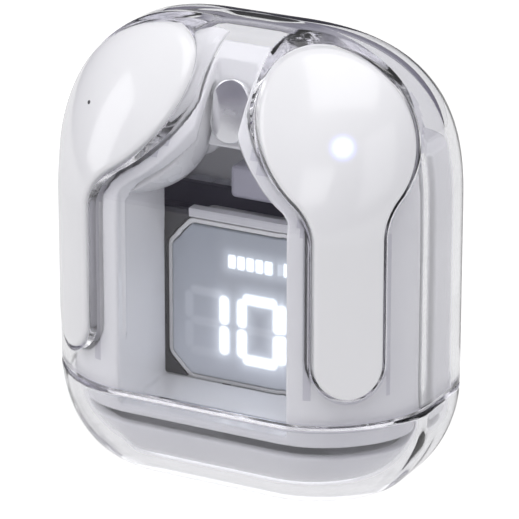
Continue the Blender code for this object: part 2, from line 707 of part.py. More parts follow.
def build_earbud(name, side):
    home = place(side, 0, 0, HEAD_Z)
    cover = keep(prism(side, 0), envelope(-GAP))
    cut(cover, dome(COVER_T, 0))
    aside, below = LIGHTS[name]
    spot = place(side, aside, 0, HEAD_Z - below)
    way = out_of(side)
    cut(cover, rod(spot - way * 12, spot + way * 4, 0.45, 12))
    finish(cover, "bud_cover_" + name, "white", home)
    lens = keep(rod(spot - way * 12, spot + way * 4, 0.3, 12), envelope(-0.2))
    cut(lens, dome(COVER_T + 0.7, 0))
    finish(lens, "bud_light_" + name, "blue_light" if side > 0 else "black", home)

    face = COVER_T + GAP
    body = keep(prism(side, -0.35), dome(face, 0))
    cut(body, dome(face + 1.5, 0))
    join(body, keep(join(bulb(side), stem(side)), dome(face + 0.02, 0)))
    start, down = tip_line(side)
    reach = TIP_END - BULB_IN
    join(body, turned(start, down, [(2, 3.0), (reach - 2.2, 2.9)], 18))
    cut(body, bulb(side, -1.1), stem(side, -0.9),
        turned(start, down, [(1, 2.0), (reach + 2, 2.0)], 16), rod(spot - way * 14, spot, 0.5, 10))
    finish(body, "bud_body_" + name, "white", home)

    tip = turned(start, down, [(3.4, 3.4), (4.4, TIP_R - 0.5), (5.4, TIP_R), (6.6, TIP_R - 0.2),
                               (reach - 1.0, TIP_R - 1.3), (reach - 0.1, TIP_R - 2.4)], 24)
    cut(tip, turned(start, down, [(-1, 3.2), (reach - 2.0, 3.2), (reach - 1.9, 2.2),
                                  (reach + 2, 2.2)], 18))
    cut(tip, bulb(side, 0.2))
    finish(tip, "ear_tip_" + name, "silicone", home)

    mesh = turned(start, down, [(reach - 2.9, 1.8), (reach - 2.5, 1.8)], 16)
    finish(mesh, "nozzle_mesh_" + name, "steel", home)
    driver = turned(start, down, [(1.2, 4.9), (2.3, 4.9), (2.6, 3.9), (3.2, 3.2)], 20)
    finish(driver, "driver_" + name, "black", home)
    back = start - down.normalized() * 1.9
    battery = turned(back, down, [(0, 4.1), (0.3, 4.4), (2.4, 4.4), (2.7, 4.1)], 20)
    finish(battery, "bud_battery_" + name, "steel", home)
    corners = [(-1.6, -1.7), (1.6, -1.7), (1.6, -2.3), (-1.6, -2.3)]
    board = loft([[place(side, s, d, z) for s, d in corners] for z in (STEM_END_Z - 0.8, HEAD_Z - 8.7)])
    finish(board, "bud_board_" + name, "board", home)
    for number, z in enumerate(PIN_LEVELS, 1):
        at = pin_spot(side, 0) + Vector((0, 0, z))
        contact = rod(at - way * 5.5, at - way * 4.95, 0.7, 12)
        body = bpy.data.objects["bud_body_" + name]
        seat = rod(at - way * 6.5, at - way * 4.75, 0.85, 12)
        seat.data.transform(Matrix.Translation(-home * MM))
        seat.matrix_world = Matrix.Translation(home * MM)
        cut(body, seat)
        finish(contact, f"bud_contact_{name}_{number}", "gold", home)
    hold = STEM_END_Z + 4.8
    magnet = rod(place(side, 0, -2.6, hold), place(side, 0, -3.6, hold), 1.2, 14)
    finish(magnet, "bud_magnet_" + name, "steel", home)


def build_magnets():
    for name, side in SIDES:
        x, z = side * (BOARD_HALF - 2), STEM_END_Z + 4.6
        disc = rod((x, BOARD_Y - 2.6, z), (x, BOARD_Y - 0.6, z), 3.0, 18)
        finish(disc, "case_magnet_" + name, "steel")


clear_scene()
CASE = new_collection("wireless_earbuds_case")
CUTTERS = new_collection("cutters")
CUTTERS.hide_render = True

build_shells()
build_frame()
build_rear()
build_board()
build_display()
build_magnets()
for pod_name, pod_side in SIDES:
    build_pins(pod_name, pod_side)
    build_earbud(pod_name, pod_side)
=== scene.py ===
"""Looks for the clear-shelled earbuds case: detailed pieces, materials, lights and camera."""
import math

import bmesh
import bpy
import numpy as np
from mathutils import Matrix, Vector


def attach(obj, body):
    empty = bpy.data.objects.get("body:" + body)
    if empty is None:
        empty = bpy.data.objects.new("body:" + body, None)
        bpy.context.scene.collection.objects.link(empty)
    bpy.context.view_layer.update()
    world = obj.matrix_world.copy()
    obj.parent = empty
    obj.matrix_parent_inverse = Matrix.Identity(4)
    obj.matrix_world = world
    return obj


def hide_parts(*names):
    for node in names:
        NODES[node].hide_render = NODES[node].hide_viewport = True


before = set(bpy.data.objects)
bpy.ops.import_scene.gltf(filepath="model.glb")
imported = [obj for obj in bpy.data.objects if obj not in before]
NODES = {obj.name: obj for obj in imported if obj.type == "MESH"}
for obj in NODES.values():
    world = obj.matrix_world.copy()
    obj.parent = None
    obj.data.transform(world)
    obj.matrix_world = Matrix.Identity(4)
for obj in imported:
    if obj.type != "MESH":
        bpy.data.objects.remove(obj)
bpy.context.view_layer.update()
MM = 0.001

# Sizes in millimetres, the same as the CAD model's
WIDTH, DEPTH, HEIGHT, PARTING_Z, CLEAR_WALL, GAP = 47.5, 27.0, 55.0, 11.8, 1.6, 0.3
CREST_Z = 54.97                    # the CAD model's top facet lies just under its height
ROOF_SIDE, ROOF_FRONT, ROOF_BACK = 22.0, 21.0, 20.0
WAIST_Z = 22.0                     # a level of the straight part, between the roof and the foot
RIM_ROUND = 0.3
FRONT_FLAT, FRONT_CORNER, BACK_FLAT, BACK_CORNER, RIDGE_Y = 10.8, 12.5, 14.5, 8.0, 2.5
POD_X, POD_Y, TURN = 17.9, -10.0, math.radians(40)
HEAD_R, HEAD_Z, STEM_HALF, STEM_END_Z, NECK_R = 8.5, 44.7, 4.0, 19.4, 6.5
NECK_Z = HEAD_Z - math.sqrt((HEAD_R + NECK_R) ** 2 - (STEM_HALF + NECK_R) ** 2)
BULB_R, BULB_DEEP, BULB_IN, TIP_R, TIP_END, SPINE = 7.8, 7.0, 8.8, 5.0, 17.6, 3.1
FRAME_INSET, FRAME_BACK, FRAME_FOOT = 2.0, -0.2, 8.9
WINDOW_HALF, WINDOW_SILL = 10.85, 9.9
COLLAR_IN, COLLAR_OUT, COLLAR_DEEP = 0.4, 1.7, 3.6
BRIDGE_LOW, BRIDGE_TOP, BRIDGE_Y, BRIDGE_LEAN = 40.5, 53.4, -2.9, 2.6
BADGE_W, BADGE_TALL, BADGE_Z = 4.8, 7.4, 45.0
SCREEN_Y, SCREEN_HALF, SCREEN_LOW, SCREEN_TOP = 0.5, 10.9, 9.5, 29.2
SCREEN_MID = (SCREEN_LOW + SCREEN_TOP) / 2
SCREEN_CHAMFER, SCREEN_DEEP, BEZEL = 2.8, 5.4, 0.45
DIGIT_W, DIGIT_TALL, DIGIT_LOW = 5.9, 8.8, 12.55
DIGITS = ((-5.75, "bc"), (1.3, "abcdef"))          # middle and lit segments of each digit
LEVEL_BARS = (-2.35, -1.15, 0.05, 1.25, 2.45, 4.2)
REAR_FRONT, REAR_TOP, REAR_WALL, TRAY_TOP, TRAY_WALL, USB_Y = 2.3, 41.3, 1.0, 7.6, 1.0, 4.4
BOWL_IN, BOWL_WALL, BOWL_DROP, BOWL_MORE = 0.45, 0.85, 1.1, 0.4
LIGHTS = {"left": (0.85, 0.15), "right": (-0.2, 0.15)}
SIDES = (("left", -1), ("right", 1))
COS_TURN, SIN_TURN = math.cos(TURN), math.sin(TURN)


# ---------------------------------------------------------------- nodes of a material

class Shader:
    """A material, new or copied, with a Principled shader and short calls to add nodes to it."""

    def __init__(self, name, base=None, **sockets):
        self.material = base.copy() if base else bpy.data.materials.new(name)
        self.material.name = name
        self.material.use_nodes = True
        self.tree = self.material.node_tree
        self.main = self.tree.nodes["Principled BSDF"]
        for socket, value in sockets.items():
            self.main.inputs[socket.replace("_", " ")].default_value = value

    def node(self, kind, links=None, **settings):
        made = self.tree.nodes.new(kind)
        for key, value in settings.items():
            setattr(made, key, value)
        for socket, value in (links or {}).items():
            if isinstance(value, bpy.types.NodeSocket):
                self.tree.links.new(value, made.inputs[socket])
            else:
                made.inputs[socket].default_value = value
        return made

    def link(self, output, socket):
        self.tree.links.new(output, self.main.inputs[socket])

    def place(self):
        return self.node("ShaderNodeTexCoord").outputs["Object"]

    def noise(self, scale, detail=3.0, place=None, rough=0.5):
        made = self.node("ShaderNodeTexNoise", {"Vector": place or self.place(), "Scale": scale,
                                                "Detail": detail, "Roughness": rough})
        return made.outputs["Fac"]

    def ramp(self, value, low, high, start=0.3, end=0.7):
        made = self.node("ShaderNodeMapRange", {"Value": value, "From Min": start, "From Max": end,
                                                "To Min": low, "To Max": high})
        return made.outputs["Result"]

    def blend(self, value, a, b):
        made = self.node("ShaderNodeMix", {"Factor": value}, data_type="RGBA")
        made.inputs[6].default_value, made.inputs[7].default_value = (*a, 1), (*b, 1)
        return made.outputs[2]

    def bump(self, height, strength, distance):
        made = self.node("ShaderNodeBump", {"Height": height, "Strength": strength,
                                            "Distance": distance})
        self.link(made.outputs["Normal"], "Normal")


def moulded(name, colour, roughness, vary=0.05, grain=900.0, depth=0.000004, **extra):
    """Moulded plastic: slight cloudiness of colour, uneven polish and a fine surface ripple."""
    made = Shader(name, **extra)
    cloudy = made.ramp(made.noise(90.0, 4.0), 0.0, 1.0)
    darker = tuple(c * (1 - vary) for c in colour)
    made.link(made.blend(cloudy, darker, colour), "Base Color")
    made.link(made.ramp(made.noise(260.0, 5.0), roughness * 0.8, roughness * 1.25), "Roughness")
    made.bump(made.noise(grain, 3.0), 0.35, depth)
    return made.material


def metal(name, colour, roughness, grain=(1.0, 1.0, 1.0), scale=1500.0, **extra):
    """Bare or plated metal with a brushed or cast grain; made coarse, the grain paints bands of
    reflection.
    """
    made = Shader(name, Metallic=1.0, **extra)
    mapped = made.node("ShaderNodeMapping", {"Vector": made.place(), "Scale": grain})
    streak = made.noise(scale, 4.0, mapped.outputs["Vector"])
    made.link(made.blend(made.ramp(streak, 0, 1), tuple(c * 0.86 for c in colour), colour),
              "Base Color")
    made.link(made.ramp(streak, roughness * 0.7, roughness * 1.4), "Roughness")
    made.bump(streak, 0.2, 0.000006)
    return made.material


def make_materials():
    made = {}
    # the base's copy of the clear plastic is darker and more violet: painted shade for the lower
    # shell
    for name, low, high in (("clear", (0.94, 0.94, 0.962), (0.962, 0.962, 0.978)),
                            ("clear_base_painted_shade", (0.895, 0.895, 0.924), (0.922, 0.922, 0.946))):
        clear = Shader(name + "_plastic", Transmission_Weight=1.0, IOR=1.42)
        clear.link(clear.blend(clear.ramp(clear.noise(120.0, 3.0), 0, 1), low, high), "Base Color")
        clear.link(clear.ramp(clear.noise(400.0, 5.0), 0.0, 0.035), "Roughness")
        clear.bump(clear.noise(140.0, 1.0), 0.25, 0.00001)
        made[name] = clear.material
    made["white"] = moulded("white_gloss", (0.93, 0.93, 0.945), 0.16, 0.015, Coat_Weight=0.35,
                            Coat_Roughness=0.05)
    made["bowl"] = moulded("bowl_white", (0.92, 0.92, 0.925), 0.24, 0.02, Coat_Weight=0.2)
    # painted shade: a darker, violet-grey copy of the clear plastic for the rims, in place of the
    # dark band that light crossing a rim the long way gives
    edge = Shader("clear_edge_painted_shade", Transmission_Weight=1.0, IOR=1.36)
    edge.link(edge.blend(edge.ramp(edge.noise(160.0, 3.0), 0, 1), (0.62, 0.61, 0.68),
                         (0.74, 0.73, 0.79)), "Base Color")
    edge.link(edge.ramp(edge.noise(400.0, 5.0), 0.06, 0.16), "Roughness")
    edge.bump(edge.noise(220.0, 1.0), 0.25, 0.00001)
    made["clear_edge_painted_shade"] = edge.material
    made["bud"] = moulded("bud_gloss", (0.9, 0.9, 0.91), 0.17, 0.015, Coat_Weight=0.5,
                          Coat_Roughness=0.06)
    made["bezel"] = moulded("bezel_white", (0.96, 0.96, 0.97), 0.2, 0.01)
    made["silicone"] = moulded("silicone", (0.84, 0.84, 0.86), 0.5, 0.04, 2200.0, 0.00001,
                               Subsurface_Weight=0.15)
    made["board"] = moulded("board_dark", (0.055, 0.05, 0.07), 0.42, 0.3, 700.0, 0.00001)
    # painted shade: near-black for the main board, in place of the dark recess behind the window
    made["void"] = moulded("void_painted_shade", (0.075, 0.07, 0.095), 0.5, 0.15, 700.0, 0.00001)
    made["black"] = moulded("black_moulding", (0.02, 0.02, 0.024), 0.38, 0.3, 1500.0, 0.00001)
    made["red_wire"] = moulded("red_sleeve", (0.5, 0.03, 0.02), 0.4, 0.2)
    made["black_wire"] = moulded("black_sleeve", (0.02, 0.02, 0.02), 0.4, 0.2)
    made["flex"] = moulded("amber_film", (0.5, 0.25, 0.05), 0.3, 0.3, 600.0, 0.00001)
    made["steel"] = metal("steel", (0.66, 0.67, 0.7), 0.28, (1, 1, 12))
    made["mesh"] = metal("mesh_steel", (0.4, 0.4, 0.43), 0.4)
    made["gold"] = metal("gold_plate", (0.9, 0.66, 0.3), 0.2)
    # the badge's grain, coarse and stretched along Z, paints broad horizontal bands of reflection
    made["chrome"] = metal("badge_plate_painted_bands", (0.97, 0.97, 0.98), 0.2, (1, 1, 3), 90.0)
    made["pale"] = moulded("block_pale", (0.62, 0.61, 0.70), 0.4, 0.05)
    made["gasket"] = shade_gasket_material()
    made["foil"] = metal("pouch_foil", (0.62, 0.63, 0.67), 0.35, (2, 1, 1), 300.0)
    return made


def shade_gasket_material():
    """Near-black round the display, painted shade for the dark space behind the window, with the
    white film that folds over the top of the display.
    """
    made = Shader("gasket_painted_shade", Roughness=0.6)
    split = made.node("ShaderNodeSeparateXYZ", {"Vector": made.place()})
    high = made.ramp(split.outputs["Z"], 0, 1, (SCREEN_TOP + 0.14) * MM, (SCREEN_TOP + 0.2) * MM)
    right = made.ramp(split.outputs["X"], 0, 1, (SCREEN_CHAMFER - SCREEN_HALF - 0.1) * MM,
                      (SCREEN_CHAMFER - SCREEN_HALF) * MM)
    film = made.node("ShaderNodeMath", {0: high, 1: right}, operation="MULTIPLY")
    # painted shade: near-black with a slight random unevenness
    dark_shade = made.blend(made.ramp(made.noise(1800.0, 4.0), 0, 1), (0.022, 0.02, 0.03),
                      (0.04, 0.037, 0.052))
    mixed = made.node("ShaderNodeMix", {"Factor": film.outputs["Value"], 6: dark_shade},
                      data_type="RGBA")
    mixed.inputs[7].default_value = (0.85, 0.85, 0.88, 1)
    made.link(mixed.outputs[2], "Base Color")
    made.bump(made.noise(1800.0, 4.0), 0.3, 0.00001)
    return made.material


# ---------------------------------------------------------------- meshes

def new_object(name, points, faces):
    mesh = bpy.data.meshes.new(name)
    mesh.from_pydata((np.asarray(points, float) * MM).tolist(), [], faces)
    work = bmesh.new()
    work.from_mesh(mesh)
    bmesh.ops.remove_doubles(work, verts=work.verts, dist=1e-7)
    bmesh.ops.recalc_face_normals(work, faces=work.faces)
    work.to_mesh(mesh)
    work.free()
    obj = bpy.data.objects.new(name, mesh)
    bpy.context.scene.collection.objects.link(obj)
    return obj


def bake(obj):
    bpy.context.view_layer.update()
    graph = bpy.context.evaluated_depsgraph_get()
    result = bpy.data.meshes.new_from_object(obj.evaluated_get(graph))
    obj.modifiers.clear()
    obj.data = result
    return obj


def combine(body, tools, operation):
    for tool in tools:
        step = body.modifiers.new(operation, "BOOLEAN")
        step.operation, step.solver, step.object = operation, "EXACT", tool
        bake(body)
    for tool in tools:
        bpy.data.objects.remove(tool)
    return body


def cut(body, *tools):
    return combine(body, tools, "DIFFERENCE")


def join(body, *tools):
    return combine(body, tools, "UNION")


def keep(body, *tools):
    return combine(body, tools, "INTERSECT")


def soften(body, voxel, rounds):
    """Remeshes a solid evenly and relaxes it, which rounds its edges as moulding does."""
    step = body.modifiers.new("even", "REMESH")
    step.mode, step.voxel_size, step.use_smooth_shade = "VOXEL", voxel * MM, True
    relax = body.modifiers.new("relax", "SMOOTH")
    relax.factor, relax.iterations = 0.5, rounds
    return bake(body)


def shade(obj, material, sharp=35.0):
    obj.data.materials.clear()
    obj.data.materials.append(material)
    obj.data.shade_smooth()
    if sharp:
        obj.data.set_sharp_from_angle(angle=math.radians(sharp))
    return obj


def add(obj, material, body, nodes=(), sharp=35.0):
    """Gives a piece its material and body, and hides the CAD nodes it stands for."""
    shade(obj, material, sharp)
    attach(obj, body)
    if nodes:
        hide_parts(*nodes)
    return obj


def band(low, high, count):
    """Quads between two rings of points that start at these numbers."""
    return [(low + k, low + (k + 1) % count, high + (k + 1) % count, high + k)
            for k in range(count)]


def loft(rings, name="tool"):
    """A solid through rings of points, closed by a flat face at each end."""
    count = len(rings[0])
    points = np.concatenate([np.asarray(ring, float) for ring in rings])
    last = (len(rings) - 1) * count
    faces = [tuple(range(count)), tuple(range(last, last + count))]
    for low in range(0, last, count):
        faces += band(low, low + count, count)
    return new_object(name, points, faces)


def box(x, y, z):
    ring = [(x[0], y[0]), (x[1], y[0]), (x[1], y[1]), (x[0], y[1])]
    return loft([[(px, py, h) for px, py in ring] for h in z])


def basis(direction):
    axis = Vector(direction).normalized()
    side = Vector((0, 0, 1)).cross(axis)
    side = Vector((1, 0, 0)) if side.length < 0.01 else side.normalized()
    return side, axis.cross(side)


def turned(start, direction, profile, count=48, name="tool"):
    """A solid turned about an axis, from (distance along it, radius) pairs."""
    start, axis = Vector(start), Vector(direction).normalized()
    side, up = basis(axis)
    rings = []
    for along, radius in profile:
        angles = [2 * math.pi * k / count for k in range(count)]
        rings.append([start + axis * along + (side * math.cos(a) + up * math.sin(a)) * radius
                      for a in angles])
    return loft(rings, name)


def ellipsoid(centre, axes, radii, count=72, levels=36):
    rings = []
    for level in range(levels + 1):
        v = math.pi * (0.008 + 0.984 * level / levels)
        u = np.linspace(0, 2 * math.pi, count, endpoint=False)
        a, b, c = (np.array(axis) for axis in axes)
        rings.append(np.array(centre) + np.outer(np.cos(u), a * radii[0] * math.sin(v))
                     + np.outer(np.sin(u), b * radii[1] * math.sin(v)) + c * radii[2] * math.cos(v))
    return loft(rings)


def rounded_outline(half_w, half_t, radius, steps=8):
    pairs = []
    for ca, cb, start in ((1, 1, 0), (-1, 1, 90), (-1, -1, 180), (1, -1, 270)):
        for k in range(steps + 1):
            a = math.radians(start + 90 * k / steps)
            pairs.append((ca * (half_w - radius) + radius * math.cos(a),
                          cb * (half_t - radius) + radius * math.sin(a)))
    return pairs


# ---------------------------------------------------------------- outer form

def closing(z, start, top, power):
    """1 up to the start, then down to 0 at the top along a superellipse."""
    t = np.clip((z - start) / (top - start), 0, 1)
    return (1 - t ** power) ** (1 / power)


def shrinks(z, inset):
    """(across, front, back) scale of the section at height z."""
    top = CREST_Z - inset
    return (closing(z, HEIGHT - ROOF_SIDE, top, 2.9), closing(z, HEIGHT - ROOF_FRONT, top, 1.5),
            closing(z, HEIGHT - ROOF_BACK, top, 2.0))


def plan_outline(inset, steps=40, flats=10):
    """The widest section seen from above, from the middle of the front round to itself."""
    half_w, half_d = WIDTH / 2 - inset, DEPTH / 2 - inset
    t = np.linspace(0, math.pi / 2, steps)
    reach_f, reach_b = FRONT_CORNER - inset, BACK_CORNER - inset
    s, c = np.sin(t), np.cos(t)
    fx = FRONT_FLAT + (half_w - FRONT_FLAT) * s ** (2 / 1.75)
    fy = -half_d + reach_f * (1 - c ** (2 / 1.75))
    bx = BACK_FLAT + (half_w - BACK_FLAT) * c ** (2 / 2.2)
    by = half_d - reach_b * (1 - s ** (2 / 2.2))
    front = np.linspace(0, FRONT_FLAT, flats, endpoint=False)
    side = np.linspace(fy[-1], by[0], flats + 2)[1:-1]
    rear = np.linspace(BACK_FLAT, 0, flats + 1)[1:]
    right = np.concatenate([
        np.stack([front, np.full(flats, -half_d)], 1), np.stack([fx, fy], 1),
        np.stack([np.full(flats, half_w), side], 1), np.stack([bx, by], 1),
        np.stack([rear, np.full(flats, half_d)], 1)])
    left = right[1:-1][::-1] * [-1, 1]
    return np.concatenate([right, left])


def section(z, inset):
    """Points round the form shrunk by inset at height z."""
    outline = plan_outline(inset)
    if z >= PARTING_Z:
        across, front, back = shrinks(z, inset)
        y = outline[:, 1] - RIDGE_Y
        return np.stack([outline[:, 0] * across, RIDGE_Y + np.where(y < 0, y * front, y * back),
                         np.full(len(outline), z)], 1)
    t = min(1.0, (PARTING_Z - z) / (PARTING_Z - inset))
    shrink = 1 - max(0.0, 1 - t ** 1.9) ** (1 / 1.9)
    return np.stack([outline[:, 0] * (1 - 0.33 * shrink), outline[:, 1] * (1 - 0.5 * shrink),
                     np.full(len(outline), z)], 1)


def upper_levels(inset, count=54):
    start, top = HEIGHT - ROOF_SIDE, CREST_Z - inset
    angle = np.radians(np.linspace(0, 88.8, count))
    return start + (top - start) * (1 - np.cos(angle) ** 2.6) ** (1 / 2.6)


def lower_levels(inset, count=26):
    return PARTING_Z - (PARTING_Z - inset) * np.sin(np.radians(np.linspace(90, 0, count)))


def footed_dome(inset, low):
    """The form shrunk by inset and cut off at a level below the parting line."""
    levels = [low, low + 0.8, low + 1.6, PARTING_Z, WAIST_Z] + list(upper_levels(inset))
    return loft([section(z, inset) for z in levels])


def widest(inset, z):
    return section(PARTING_Z, inset) * [1, 1, 0] + [0, 0, z]


def dome(inset, low):
    """The upper part of the form, its widest section carried down to low."""
    rings = [widest(inset, low), section(WAIST_Z, inset)]
    return loft(rings + [section(z, inset) for z in upper_levels(inset)])


def cup(inset, high):
    """The lower part of the form, its widest section carried up to high."""
    return loft([section(z, inset) for z in lower_levels(inset)] + [widest(inset, high)])


def inside(x, y, z, inset):
    """Whether points above the parting line lie inside the form shrunk by inset."""
    half_w, half_d = WIDTH / 2 - inset, DEPTH / 2 - inset
    across, front, back = shrinks(z, inset)
    safe = 1e-6
    px = np.abs(x) / np.maximum(across, safe)
    py = RIDGE_Y + (y - RIDGE_Y) / np.maximum(np.where(y < RIDGE_Y, front, back), safe)
    reach_f, reach_b = FRONT_CORNER - inset, BACK_CORNER - inset
    fa = np.clip((px - FRONT_FLAT) / (half_w - FRONT_FLAT), 0, None)
    fb = np.clip((reach_f - half_d - py) / reach_f, 0, None)
    ba = np.clip((px - BACK_FLAT) / (half_w - BACK_FLAT), 0, None)
    bb = np.clip((py - half_d + reach_b) / reach_b, 0, None)
    ok = (px <= half_w) & (np.abs(py) <= half_d) & (z <= CREST_Z - inset)
    return ok & (fa ** 1.75 + fb ** 1.75 <= 1) & (ba ** 2.2 + bb ** 2.2 <= 1)


# ---------------------------------------------------------------- keyholes

def placed(side, aside, out, z):
    """Points given by their place across and out along an earbud's axis, as arrays."""
    aside, out, z = np.broadcast_arrays(aside, out, z)
    x = POD_X + aside * COS_TURN + out * SIN_TURN
    return np.stack([side * x, POD_Y + aside * SIN_TURN - out * COS_TURN, z], -1)


def place(side, aside, out, z):
    return Vector(placed(side, aside, out, z))


def out_of(side):
    return Vector((side * SIN_TURN, -COS_TURN, 0))


def across_of(side):
    return Vector((side * COS_TURN, SIN_TURN, 0))


def skin(aside, z, inset):
    """How far out along an earbud's axis the form shrunk by inset has its surface."""
    inner, outer = np.full(aside.shape, -17.0), np.full(aside.shape, 9.0)
    for _ in range(34):
        middle = (inner + outer) / 2
        at = placed(1, aside, middle, z)
        within = inside(at[..., 0], at[..., 1], at[..., 2], inset)
        inner, outer = np.where(within, middle, inner), np.where(within, outer, middle)
    return inner


def keyhole(steps=(16, 26, 16, 60)):
    """Outline points of the right half, their inward directions and the distance from each to
    the middle line of the shape."""
    lean = math.atan2(HEAD_Z - NECK_Z, STEM_HALF + NECK_R)
    a = np.radians(np.linspace(-90, 0, steps[0], endpoint=False))
    low = np.stack([STEM_HALF * np.cos(a), STEM_END_Z + STEM_HALF * np.sin(a)], 1)
    low_in, low_far = -np.stack([np.cos(a), np.sin(a)], 1), np.full(len(a), STEM_HALF)
    z = np.linspace(STEM_END_Z, NECK_Z, steps[1], endpoint=False)
    rise = np.stack([np.full(len(z), STEM_HALF), z], 1)
    rise_in, rise_far = np.tile([-1.0, 0.0], (len(z), 1)), np.full(len(z), STEM_HALF)
    a = math.pi - lean * np.linspace(0, 1, steps[2], endpoint=False)
    spoke = np.stack([np.cos(a), np.sin(a)], 1)
    neck = np.array([STEM_HALF + NECK_R, NECK_Z]) + NECK_R * spoke
    neck_far = (STEM_HALF + NECK_R) / np.abs(np.cos(a)) - NECK_R
    a = np.linspace(-lean, math.pi / 2, steps[3])
    spoke_head = np.stack([np.cos(a), np.sin(a)], 1)
    head = np.array([0, HEAD_Z]) + HEAD_R * spoke_head
    return (np.concatenate([low, rise, neck, head]),
            np.concatenate([low_in, rise_in, spoke, -spoke_head]),
            np.concatenate([low_far, rise_far, neck_far, np.full(len(a), HEAD_R)]))


OUTLINE, INWARD, FAR = keyhole()
WAY_OUT = 12.0                     # a distance along an earbud's axis that is clear of the case


def loop(inward):
    """The closed outline moved inwards by a distance, or one per point (negative grows it)."""
    moved = OUTLINE + INWARD * np.minimum(inward, FAR)[:, None]
    return np.concatenate([moved, moved[1:-1][::-1] * [-1, 1]])


def pull_back(aside, back, nearest):
    """How far back a keyhole reaches: to a plane behind it or near the case's middle."""
    by_plane = (aside * SIN_TURN + POD_Y - back) / COS_TURN
    by_middle = (nearest - POD_X - aside * COS_TURN) / SIN_TURN
    return np.maximum(by_plane, by_middle)


def prism(side, offset, back=2.2, nearest=SPINE + 0.4, fillet=0.0):
    """The keyhole carried along the earbud's axis. With a fillet it flares where it meets the
    case's outer surface, which leaves a rounded rim."""
    base = loop(-offset)
    rings = [(base, pull_back(base[:, 0], back, nearest))]
    if fillet:
        for a in np.radians(np.linspace(0, 90, 9)):
            ring = loop(-offset - fillet * (1 - math.cos(a)))
            rings.append((ring, skin(ring[:, 0], ring[:, 1], 0.0) - fillet * (1 - math.sin(a))))
        wide = loop(-offset - fillet * 1.25)
        rings += [(wide, skin(ring[:, 0], ring[:, 1], 0.0) + 0.3), (wide, WAY_OUT)]
    else:
        rings.append((base, WAY_OUT))
    count = len(base)
    points = [placed(side, ring[:, 0], out, ring[:, 1]) for ring, out in rings]
    points += [placed(side, 0.0, out, HEAD_Z - 5.0)[None]
               for out in (pull_back(0.0, back, nearest), WAY_OUT)]
    last = (len(rings) - 1) * count
    faces = []
    for low in range(0, last, count):
        faces += band(low, low + count, count)
    for k in range(count):
        n = (k + 1) % count
        faces += [(k, n, last + count), (last + k, last + n, last + count + 1)]
    return new_object("tool", np.concatenate(points), faces)


def bulb(side, grow=0.0, way_out=False, drop=0.0):
    """The earbud's head; with a way out it is straight from its widest part outwards."""
    axes = (across_of(side), Vector((0, 0, 1)), out_of(side))
    radius, deep = BULB_R + grow, BULB_DEEP + grow
    centre = place(side, 0, -BULB_IN, HEAD_Z - 0.4 - drop)
    if not way_out:
        return ellipsoid(centre, axes, (radius, radius, deep))
    profile = [(BULB_IN + 4.0, radius)]
    for a in np.radians(np.linspace(0, 88.5, 30)):
        profile.append((-deep * math.sin(a), radius * math.cos(a)))
    return turned(centre, axes[2], profile, 80)


def stem(side, grow=0.0):
    """The earbud's stem behind its cover, with a rounded end."""
    half, deep = 3.5 + grow, 4.0 + grow
    low, high = STEM_END_Z - 0.2, HEAD_Z - 3
    turn = np.linspace(0, 2 * math.pi, 48, endpoint=False)
    shape = []
    for a in np.radians(np.linspace(0, 90, 12)):
        size = max(0.05, math.sin(a))
        shape.append(placed(side, half * size * np.cos(turn), -1.5 + deep * size * np.sin(turn),
                            low - half * math.cos(a)))
    shape.append(placed(side, half * np.cos(turn), -1.5 + deep * np.sin(turn), high))
    return loft(shape)


def tip_line(side):
    """Where the nozzle and ear tip start, and the way they point."""
    return place(side, 0, -BULB_IN, HEAD_Z - 1.5), -out_of(side)


def tip_pocket(side, grow):
    start, way = tip_line(side)
    radius, nose = TIP_R + grow, 3.4
    straight = TIP_END - BULB_IN - nose + grow
    profile = [(0, radius), (straight, radius)]
    for a in np.radians(np.linspace(15, 80, 6)):
        profile.append((straight + nose * math.sin(a), radius * (0.35 + 0.65 * math.cos(a))))
    return turned(start, way, profile)


def pod(side, grow, way_out=False):
    """The whole of an earbud behind its cover."""
    return join(bulb(side, grow, way_out), stem(side, grow), tip_pocket(side, grow))


def bowl(side, grow):
    """The pocket that holds an earbud, open outwards."""
    return join(bulb(side, grow + BOWL_MORE, True, BOWL_DROP), stem(side, grow),
                tip_pocket(side, grow))


# ---------------------------------------------------------------- case pieces

